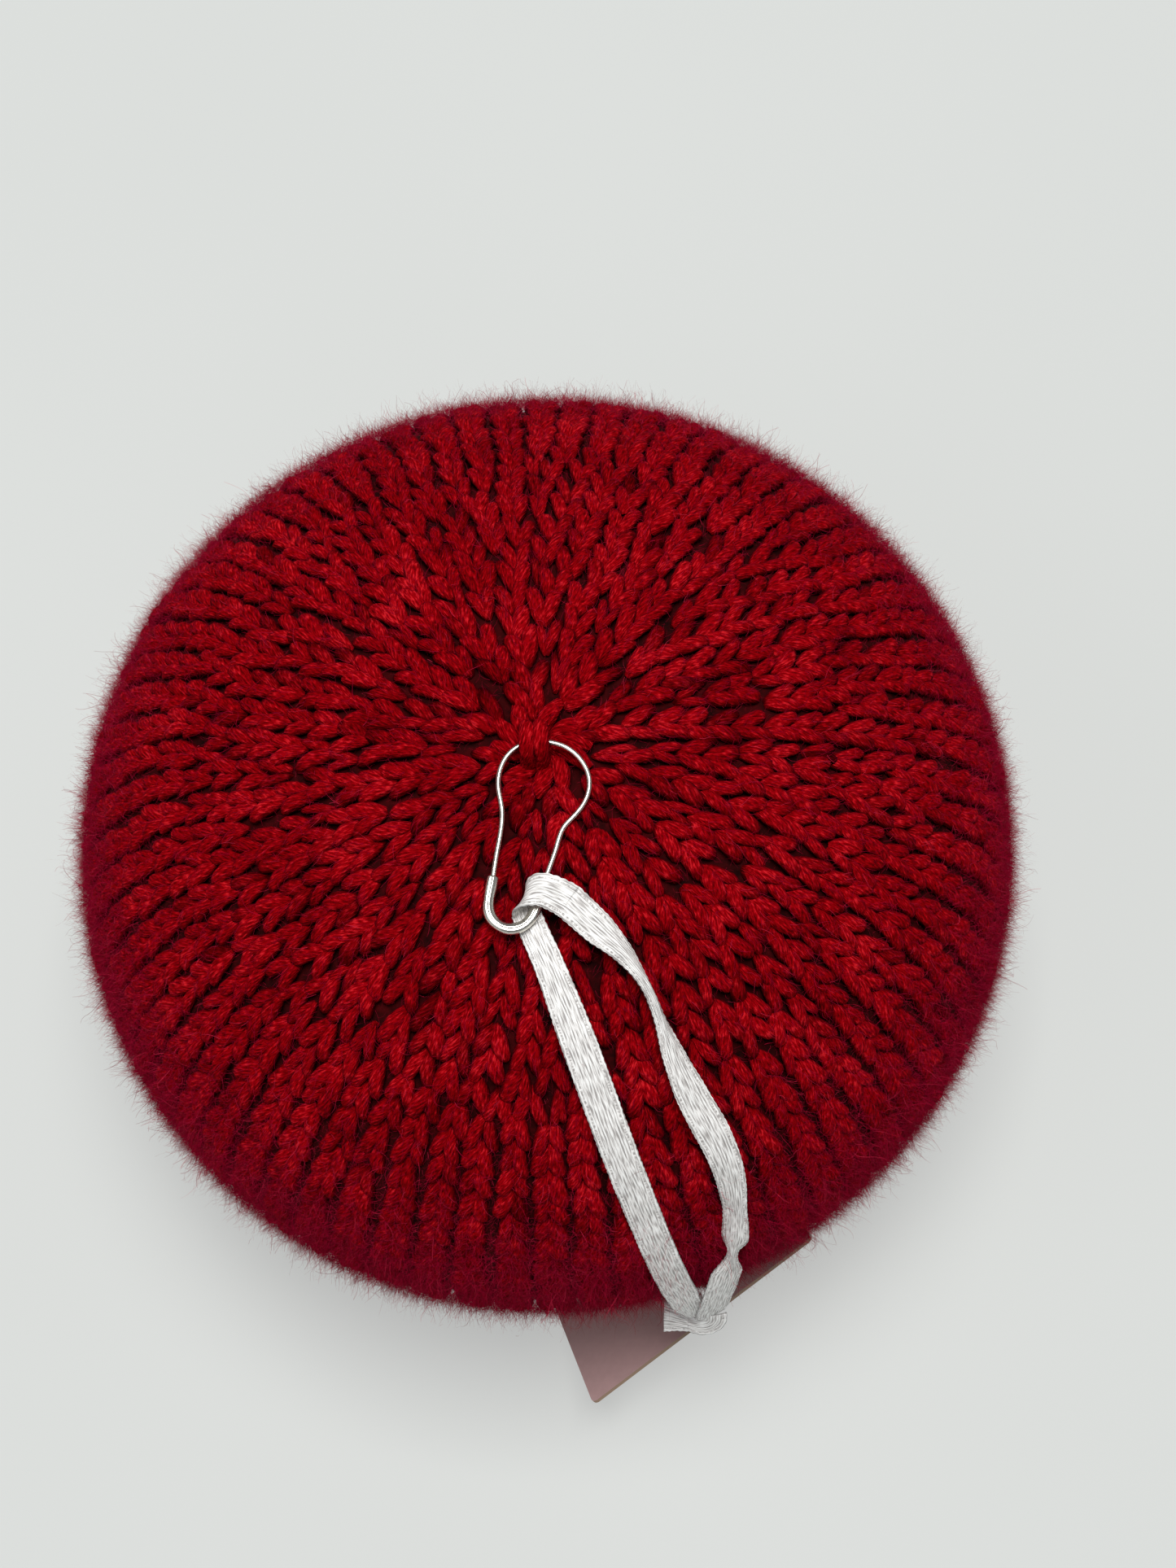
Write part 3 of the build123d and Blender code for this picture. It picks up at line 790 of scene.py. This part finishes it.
def build_crown_stitch(wool):
    """Two plump strands over the bulb of the pin."""
    x, y = PIN_TOP[0] / MM, PIN_TOP[1] / MM
    lines, ups, sizes = [], [], []
    for offset, spread in ((-0.82, -0.25), (0.80, 0.3)):
        points = [(x + offset + spread, y + 2.3, 77.4), (x + offset, y + 1.9, 79.6),
                  (x + offset * 0.95, y + 1.1, 81.6), (x + offset * 0.9, y - 0.1, 82.15),
                  (x + offset, y - 1.3, 81.5), (x + offset, y - 2.1, 79.6),
                  (x + offset * 0.8, y - 2.6, 77.4)]
        line, body = yarn_strand(points, 0.92 * MM, 26)
        away = line - np.array([line[:, 0].mean(), PIN_TOP[1], PIN_Z])
        lines.append(line)
        ups.append(unit(away * np.array([0, 1, 1])))
        sizes.append(body)
    verts, faces, uvs, above = tubes(np.array(lines), np.array(ups), np.array(sizes), np.array(sizes),
                                     14, ply=0.10, ply_turns=1.6)
    # the shade attribute paints shade on the underside of the strands
    piece = make_mesh("crown_stitch_yarn", verts, faces, uvs, wool, smoothstep(0.75 + 0.5 * above / MM))
    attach(piece, "cushion")
    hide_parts("crown_stitch")


def build_crown_gather(wool):
    """The drawn-up middle: short strands that lean round it and dip into it."""
    lines, sizes = [], []
    strands, steps = 10, 15
    t = np.linspace(0, 1, steps)
    for index in range(strands):
        angle = index * 2 * np.pi / strands + rng.normal() * 0.12
        reach = 5.4 + 0.9 * rng.random()
        radius = (reach - (reach - 0.9) * t) * MM
        height = PROFILE_Z[0] + (0.1 + 0.75 * np.sin(np.pi * t) - 1.9 * t**2) * MM
        swirl = angle + 0.45 * t + rng.normal() * 0.05
        lines.append(np.stack([radius * np.cos(swirl), radius * np.sin(swirl), height], -1))
        sizes.append((0.60 + 0.52 * np.sin(np.pi * (0.1 + 0.7 * t)) * (1 - 0.4 * t)) * MM)
    lines, sizes = np.array(lines), np.array(sizes)
    verts, faces, uvs, above = tubes(lines, facing(lines, 1), sizes, sizes, 12, ply=0.10, ply_turns=1.6)
    # the shade attribute paints shade on the underside of the strands
    piece = make_mesh("crown_gather", verts, faces, uvs, wool, smoothstep(0.6 + 0.6 * above / MM))
    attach(piece, "cushion")
    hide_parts("crown_gather_yarn")


# ==== pin ===========================================================================
def build_cap(metal):
    """Sheet folded round the wire, with the seam of the fold along its upper side."""
    path = smooth_route([(x, y, PIN_Z / MM) for x, y in CAP_PATH], step=0.12)
    tangent = unit(np.gradient(path, axis=0))
    up = facing(path, 1)
    side = np.cross(tangent, up)
    outer, inner = 40, 24
    outline = []
    for angle in np.linspace(-62, 242, outer):
        seam = 0.16 * math.exp(-((angle - 78) / 7.0) ** 2)
        flat = 1.0 - 0.06 * math.exp(-((angle - 125) / 25.0) ** 2)
        outline.append((math.radians(angle), (0.64 * flat - seam) * MM))
    for angle in np.linspace(242, -62, inner):
        outline.append((math.radians(angle), 0.45 * MM))
    angles, radii = np.array(outline).T
    flare = 1 + 0.05 * np.sin(np.arange(len(path)) * 0.23)
    flare[[0, -1]] *= 0.93
    ring = radii[None] * flare[:, None]
    verts = (path[:, None] + (ring * np.cos(angles))[..., None] * side[:, None]
             + (ring * np.sin(angles))[..., None] * up[:, None]).reshape(-1, 3)
    columns = outer + inner
    faces = grid_faces(len(path), columns, True)
    caps = []
    for row in (0, len(path) - 1):
        for k in range(outer - 1):
            near = columns - 1 - int(k * (inner - 1) / (outer - 1))
            far = columns - 1 - int((k + 1) * (inner - 1) / (outer - 1))
            quad = [row * columns + k, row * columns + k + 1, row * columns + far, row * columns + near]
            if len(set(quad)) == 4:
                caps.append(quad if row else quad[::-1])
    faces = np.vstack([faces, np.array(caps)])
    piece = make_mesh("pin_cap_sheet", verts, faces, None, metal)
    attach(piece, "pin_catch")
    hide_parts("pin_cap")


# ==== ribbon ========================================================================
def ribbon_grid(line, across, widths, cup):
    """Vertices and (across, along) pairs of a woven ribbon, one row per point of its line; across
    is its width direction and cup how far its middle stands above its edges."""
    tangent = unit(np.gradient(line, axis=0))
    across = unit(across - tangent * np.sum(across * tangent, -1, keepdims=True))
    up = np.cross(tangent, across)
    run = np.concatenate([[0], np.cumsum(np.linalg.norm(np.diff(line, axis=0), axis=-1))]) / MM
    share = np.linspace(-1, 1, 17)
    edge = np.abs(share)[None] > 0.99
    picot = 0.10 * MM * np.abs(np.sin(np.pi * run / 0.8))[:, None] * edge
    reach = (0.5 * widths[:, None] + picot) * share[None]
    bow = np.broadcast_to(cup, run.shape)[:, None] * (1 - np.abs(share[None]) ** 1.6)
    bow = bow + 0.05 * MM * np.sin(run[:, None] * 1.1 + share[None] * 1.5)
    thick = 0.09 * MM * (1 + 0.5 * edge) + 0 * bow
    middle = line[:, None] + reach[..., None] * across[:, None] + bow[..., None] * up[:, None]
    top = middle + thick[..., None] * up[:, None]
    low = middle - thick[..., None] * up[:, None]
    uv_top = np.stack(np.broadcast_arrays(share[None] * 0.498 + 0.5, run[:, None]), -1)
    uv_low = np.stack(np.broadcast_arrays(share[None, ::-1] * 0.498 + 2.5, run[:, None]), -1)
    return np.concatenate([top, low[:, ::-1]], 1), np.concatenate([uv_top, uv_low], 1)


def ribbon_mesh(name, grid, material):
    verts, uvs = grid
    rows, columns, _ = verts.shape
    half = columns // 2
    faces = grid_faces(rows, columns, True)
    ends = []
    for row in (0, rows - 1):
        for k in range(half - 1):
            quad = [row * columns + k, row * columns + k + 1,
                    row * columns + columns - 2 - k, row * columns + columns - 1 - k]
            ends.append(quad if row else quad[::-1])
    faces = np.vstack([faces, np.array(ends)])
    piece = make_mesh(name, verts.reshape(-1, 3), faces, uvs.reshape(-1, 2), material)
    return piece


def nearest_dome_normal(points):
    """Normal of the dome nearest to each point."""
    radius = np.hypot(points[:, 0], points[:, 1])
    gap = (radius[:, None] - PROFILE_R[None]) ** 2 + (points[:, 2][:, None] - PROFILE_Z[None]) ** 2
    s = S[np.argmin(gap, axis=1)]
    return dome_normal(s, np.arctan2(points[:, 1], points[:, 0]))


def profile_along(share, pairs):
    """Smoothed values along a ribbon from (share of its length, value) pairs."""
    values = np.interp(share, [a for a, _ in pairs], [b for _, b in pairs])
    kernel = np.hanning(13)
    return np.convolve(np.pad(values, 6, "edge"), kernel / kernel.sum(), "valid")


def strand(route, turns, widths, cups):
    """Centreline, width direction, width and cup of one strand lying along the dome, from the pin
    down; it turns about its own line by turns degrees and narrows where it is pinched."""
    line = filleted_route(route, step=0.22)
    tangent = unit(np.gradient(line, axis=0))
    flat = unit(np.cross(nearest_dome_normal(line), tangent))
    run = np.concatenate([[0], np.cumsum(np.linalg.norm(np.diff(line, axis=0), axis=-1))])
    share = run / run[-1]
    turn = np.radians(profile_along(share, turns))[:, None]
    across = flat * np.cos(turn) + np.cross(tangent, flat) * np.sin(turn)
    width = RIBBON_WIDTH * profile_along(share, widths)
    return line, across, width, MM * profile_along(share, cups)


def threaded(right, left):
    """The same for the part of the ribbon that is threaded through the pin."""
    stations = [((-0.7, -17.7, 81.75), (0.42, 0.90, 0.0), 3.7),
                ((-2.3, -17.75, 81.4), (0.48, 0.87, 0.0), 3.6),
                ((-3.25, -18.4, 80.4), (0.5, 0.86, 0.0), 3.4),
                ((-3.0, -19.3, 79.3), (0.6, 0.8, 0.0), 3.2)]
    inner = [np.array(centre) for centre, _, _ in stations]
    points = [right[0][8] / MM, right[0][0] / MM, *inner, left[0][0] / MM, left[0][8] / MM]
    line = smooth_route(points, step=0.12)
    marks = [int(np.argmin(np.linalg.norm(line / MM - point, axis=1))) for point in points[1:-1]]
    line = line[marks[0]:marks[-1] + 1]
    marks = [mark - marks[0] for mark in marks]
    acrosses = np.array([right[1][0], *[a for _, a, _ in stations], left[1][0]])
    sizes = [right[2][0], *[w * MM for _, _, w in stations], left[2][0]]
    steps = np.arange(len(line))
    across = np.stack([np.interp(steps, marks, acrosses[:, k]) for k in range(3)], -1)
    return line, across, np.interp(steps, marks, sizes), 0 * steps


def build_ribbon(material):
    """The whole ribbon in one run from the knot up the right strand, through the pin and down the
    left strand, cut into its three pieces where the strands leave the pin.  Returns the two
    strands, each with its centreline."""
    right = strand(RIGHT_ROUTE, RIGHT_TURNS, RIGHT_WIDTHS, RIGHT_CUPS)
    left = strand(LEFT_ROUTE, LEFT_TURNS, LEFT_WIDTHS, LEFT_CUPS)
    loop = threaded(right, left)
    whole = [np.concatenate([r[:0:-1], m, l[1:]]) for r, m, l in zip(right, loop, left)]
    whole[3][:len(right[3]) - 1] *= -1
    verts, uvs = ribbon_grid(*whole)
    first, last = len(right[0]) - 1, len(right[0]) + len(loop[0]) - 2
    cuts = (("ribbon_right_strand", 0, first), ("ribbon_threaded", first, last),
            ("ribbon_left_strand", last, len(verts) - 1))
    pieces = [ribbon_mesh(name, (verts[a:b + 1], uvs[a:b + 1]), material) for name, a, b in cuts]
    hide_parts("ribbon_right")
    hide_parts("ribbon_loop")
    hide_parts("ribbon_left")
    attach(pieces[1], "pin")
    for piece, hinge, line in ((pieces[0], LIFT_AXIS_RIGHT, right[0]),
                               (pieces[2], LIFT_AXIS_LEFT, left[0])):
        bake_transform(piece)
    return pieces[0], right[0], pieces[2], left[0]


def hand_laid(name, points, first, last, widths, material, node, cup):
    """A short piece of ribbon through points in millimetres, its width direction going from first
    to last and widths being shares of the ribbon's width."""
    line = smooth_route(points, step=0.15)
    t = np.linspace(0, 1, len(line))[:, None]
    across = np.array(first) * (1 - t) + np.array(last) * t
    width = RIBBON_WIDTH * np.interp(t[:, 0], np.linspace(0, 1, len(widths)), widths)
    piece = ribbon_mesh(name, ribbon_grid(line, across, width, cup * MM), material)
    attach(piece, "ribbon")
    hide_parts(node)
    return piece


def build_knot(material):
    """The turn in which the right strand crosses below the end of the left one."""
    points = [(16.7, -61.0, 36.8), (16.6, -61.6, 35.3), (15.6, -61.9, 34.1), (14.0, -61.5, 33.5)]
    return hand_laid("ribbon_knot_turns", points, (0.98, 0.1, 0.1), (0.15, -0.88, -0.45),
                     (0.95, 0.95, 0.8, 0.6), material, "ribbon_knot", 0.25)


def build_tail(material):
    """The cut end, left of the knot."""
    points = [(14.4, -61.6, 33.5), (13.3, -61.2, 33.3), (12.2, -60.8, 33.0), (11.1, -60.5, 32.6)]
    return hand_laid("ribbon_cut_end", points, (0.15, -0.88, -0.45), (0.28, -0.93, -0.25),
                     (0.58, 0.75, 0.9, 1.0), material, "ribbon_tail", 0.2)


def build_tag_loop(material):
    """The doubled end that goes down through the hole in the card."""
    hx, hy, hz = TAG_HOLE
    x, y, z = KNOT_CENTRE
    points = [(x, y, z - 0.5), (x + 0.2, y + 0.2, z - 7.0), (hx, hy - 1.0, hz + 4.5), (hx, hy, hz),
              (hx, hy + 0.55, hz - 1.5)]
    return hand_laid("ribbon_tag_end", points, (0.815, 0.512, 0.1), (0.815, 0.512, 0.1), (0.68, 0.68),
                     material, "tag_loop", 0.3)


# ==== tag ===========================================================================
def tag_normal():
    """Square to the card, from its top edge and the direction down it."""
    along = unit(np.array(TAG_FAR_CORNER) - np.array(TAG_CORNER))
    return unit(np.cross(along, unit(np.array(TAG_DOWN))))


def paint_tag(card):
    """The card's faces and its cut edges, told apart by which way they face."""
    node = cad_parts["tag_card"]
    paint_node("tag_card", card)
    turn = np.array(node.matrix_world.to_3x3())
    square = tag_normal()
    layer = node.data.attributes.new("cut_edge", "FLOAT", "CORNER")
    for polygon in node.data.polygons:
        is_edge = float(abs(turn @ np.array(polygon.normal) @ square) < 0.7)
        for corner in polygon.loop_indices:
            layer.data[corner].value = is_edge


# ==== base and band =================================================================
def disc(name, radius, low, high, material):
    """A soft-edged disc with a slightly uneven face."""
    rings, sides = 40, 144
    angle = np.linspace(0, 2 * np.pi, sides, endpoint=False)
    share = np.linspace(0.02, 1, rings)
    rows = []
    middle, half = (high + low) / 2, (high - low) / 2
    for s in share:
        rows.append((s * radius, high))
    for turn in np.linspace(0, np.pi, 9)[1:-1]:
        rows.append((radius + 0.4 * half * math.sin(turn), middle + half * math.cos(turn)))
    for s in share[::-1]:
        rows.append((s * radius, low))
    r, z = np.array(rows).T[:, :, None]
    ripple = 0.10 * MM * np.sin(5 * angle)[None] * (r / radius) + 0 * z
    verts = np.stack([r * np.cos(angle), r * np.sin(angle), z + np.minimum(ripple, 0)], -1)
    return make_mesh(name, verts.reshape(-1, 3), grid_faces(len(rows), sides, True), None, material)


def sewn(name, lines, radius, thread):
    """Stitches of thread along short lines on an underside."""
    lines = np.array(lines)
    size = np.full(lines.shape[:2], radius)
    verts, faces, uvs, _ = tubes(lines, facing(lines, -1), size, size, 8, ply=0.1, ply_turns=4)
    return make_mesh(name, verts, faces, uvs, thread)


def build_base(felt, thread):
    """The felt disc and the overcast stitches round its edge."""
    low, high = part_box("felt_base")
    radius = (high[0] - low[0]) / 2
    piece = disc("felt_disc", radius, low[2], high[2], felt)
    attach(piece, "cushion")
    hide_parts("felt_base")
    t = np.linspace(0, 1, 9)
    r = radius - 1.6 * MM + 3.2 * MM * t
    z = low[2] - 0.1 * MM + 1.3 * MM * t**2 - 0.25 * MM * np.sin(np.pi * t)
    lines = []
    for index in range(BASE_STITCHES):
        lean = index * 2 * np.pi / BASE_STITCHES + (t - 0.5) * 0.03
        lines.append(np.stack([r * np.cos(lean), r * np.sin(lean), z], -1))
    piece = sewn("felt_stitches", lines, 0.33 * MM, thread)
    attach(piece, "cushion")
    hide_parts("base_stitches")


def band_outline(straight, radius):
    """Points round the middle of the collapsed loop, with the direction out of it at each."""
    outline = []
    for end in (1, -1):
        for x in np.linspace(-end * straight, end * straight, 90):
            outline.append((x, -end * radius, 0, -end))
        for angle in np.radians(np.linspace(-90, 90, 30)[1:-1]):
            c, s = end * math.cos(angle), end * math.sin(angle)
            outline.append((end * straight + radius * c, radius * s, c, s))
    return np.array(outline)


def build_band(elastic):
    """The collapsed elastic loop, ribbed across, with thinner edges."""
    low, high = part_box("wrist_band")
    half_height = (high[2] - low[2]) / 2
    outline = band_outline((high[0] - low[0]) / 2 - half_height, half_height - BAND_THICKNESS / 2)
    steps = np.hypot(np.diff(outline[:, 0]), np.diff(outline[:, 1]))
    run = np.concatenate([[0], np.cumsum(steps)]) / MM
    share = np.linspace(-1, 1, 27)
    half_thick = BAND_THICKNESS / 2 * (1 - 0.25 * (np.abs(share) > 0.95)) * 0.98
    rib = 0.06 * MM * np.cos(2 * np.pi * run / 1.4)
    y = low[1] + (high[1] - low[1]) * (share + 1) / 2
    rings, uvs = [], []
    for sign, order in ((1, slice(None)), (-1, slice(None, None, -1))):
        depth = sign * (half_thick[order][None] - 0.07 * MM + rib[:, None])
        x = outline[:, :1] + outline[:, 2:3] * depth
        z = (high[2] + low[2]) / 2 + outline[:, 1:2] + outline[:, 3:] * depth
        rings.append(np.stack([x, np.broadcast_to(y[order], x.shape), z], -1))
        uvs.append(np.stack(np.broadcast_arrays(share[order][None] * 0.5 + 0.5, run[:, None]), -1))
    columns = 2 * len(share)
    faces = grid_faces(len(outline), columns, True)
    here = np.arange(columns)
    there = (here + 1) % columns
    last = (len(outline) - 1) * columns
    seam = np.stack([last + here, last + there, there, here], -1)
    piece = make_mesh("band_elastic", np.concatenate(rings, 1).reshape(-1, 3), np.vstack([faces, seam]),
                      np.concatenate(uvs, 1).reshape(-1, 2), elastic)
    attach(piece, "cushion")
    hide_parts("wrist_band")


def build_band_thread(thread):
    """The two rows of stitches that hold the band to the felt."""
    low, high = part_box("band_stitches")
    t = np.linspace(-1, 1, 9)
    lines = []
    for y in (low[1] + 0.35 * MM, high[1] - 0.35 * MM):
        for index in range(9):
            x = low[0] + (1.5 + 4.5 * index) * MM
            z = high[2] - 0.25 * MM + 0.28 * MM * t**4
            lines.append(np.stack([x + 1.5 * MM * t, y + 0 * t, z], -1))
    piece = sewn("band_thread", lines, 0.3 * MM, thread)
    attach(piece, "cushion")
    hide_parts("band_stitches")


# ==== stage =========================================================================
def build_floor():
    """A plain pale floor that gives off some light of its own."""
    material, nodes, links, shader = new_material("table")
    noise = object_noise(nodes, links, 6, 2.0)
    colour = ramp_node(nodes, [(0.3, (0.26, 0.27, 0.26)), (0.7, (0.28, 0.29, 0.28))])
    links.new(noise.outputs["Fac"], colour.inputs[0])
    links.new(colour.outputs[0], shader.inputs["Base Color"])
    set_inputs(shader, {"Emission Color": (0.98, 1.0, 0.985, 1), "Emission Strength": FLOOR_GLOW,
                        "Roughness": 0.9, "Specular IOR Level": 0.1})
    corners = FLOOR_REACH * np.array([[-1, -1, 0], [1, -1, 0], [1, 1, 0], [-1, 1, 0]])
    floor = make_mesh("table_top", corners, np.array([[0, 1, 2, 3]]), None, material)


def build_light():
    """A broad lamp overhead, a weak one from the left and an even room light."""
    world = bpy.data.worlds.new("room")
    world.use_nodes = True
    background = world.node_tree.nodes["Background"]
    background.inputs[0].default_value = (0.95, 0.985, 1.0, 1)
    background.inputs[1].default_value = ROOM_LIGHT
    bpy.context.scene.world = world
    for name, energy, size, place, colour in (
            ("ceiling", 8.2, 0.40, (0.02, 0.10, 0.95), (1.0, 0.995, 0.985)),
            ("window", 0.8, 0.5, (-0.55, -0.25, 0.6), (0.92, 0.96, 1.0))):
        data = bpy.data.lights.new(name, "AREA")
        data.energy, data.size, data.color = energy, size, colour
        lamp = bpy.data.objects.new(name, data)
        aim_from(lamp, place, LAMP_AIM)


def aim_from(obj, place, target):
    """Puts a lamp or camera at a place, looking at the target."""
    obj.location = place
    obj.rotation_mode = "QUATERNION"
    obj.rotation_quaternion = (Vector(target) - obj.location).to_track_quat("-Z", "Y")
    bpy.context.collection.objects.link(obj)


def build_camera():
    data = bpy.data.cameras.new("camera")
    data.sensor_width, data.lens = 36.0, LENS
    camera = bpy.data.objects.new("camera", data)
    aim_from(camera, CAMERA_PLACE, CAMERA_AIM)
    bpy.context.scene.camera = camera


def paint_node(name, material):
    """A material on a CAD node that is shown as it is."""
    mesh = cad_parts[name].data
    mesh.materials.clear()
    mesh.materials.append(material)


def main():
    wool, ground, fuzz = wool_material(), ground_material(), fuzz_material()
    satin, metal, card = satin_material(), metal_material(), card_material()
    felt = felt_material("felt", (0.05, 0.002, 0.004), (0.20, 0.008, 0.014))
    thread = felt_material("thread", (0.10, 0.003, 0.006), (0.30, 0.012, 0.02))
    lining = felt_material("lining", (0.08, 0.004, 0.006), (0.22, 0.012, 0.016))
    fill = felt_material("fill", (0.55, 0.53, 0.50), (0.80, 0.78, 0.74))
    plastic = felt_material("stiff_plastic", (0.60, 0.60, 0.58), (0.70, 0.70, 0.68))
    elastic = elastic_material()

    legs, leg_normals = build_knit(wool)
    build_ground(ground)
    build_crown_gather(wool)
    build_crown_stitch(wool)
    build_fuzz(fuzz)
    build_yarn_fibres(fuzz, legs, leg_normals)

    paint_node("pin_wire_pointed", metal)
    paint_node("pin_wire_fixed", metal)
    build_cap(metal)

    right, right_line, left, left_line = build_ribbon(satin)
    knot = build_knot(satin)
    tail = build_tail(satin)
    tag_end = build_tag_loop(satin)
    paint_tag(card)

    build_base(felt, thread)
    build_band(elastic)
    build_band_thread(thread)
    for name, material in (("lining_bag", lining), ("stuffing", fill), ("guard_disc", plastic),
                           ("base_gather_yarn", wool)):
        paint_node(name, material)

    build_floor()
    build_light()
    build_camera()
    bpy.context.scene.view_settings.view_transform = "Standard"


main()
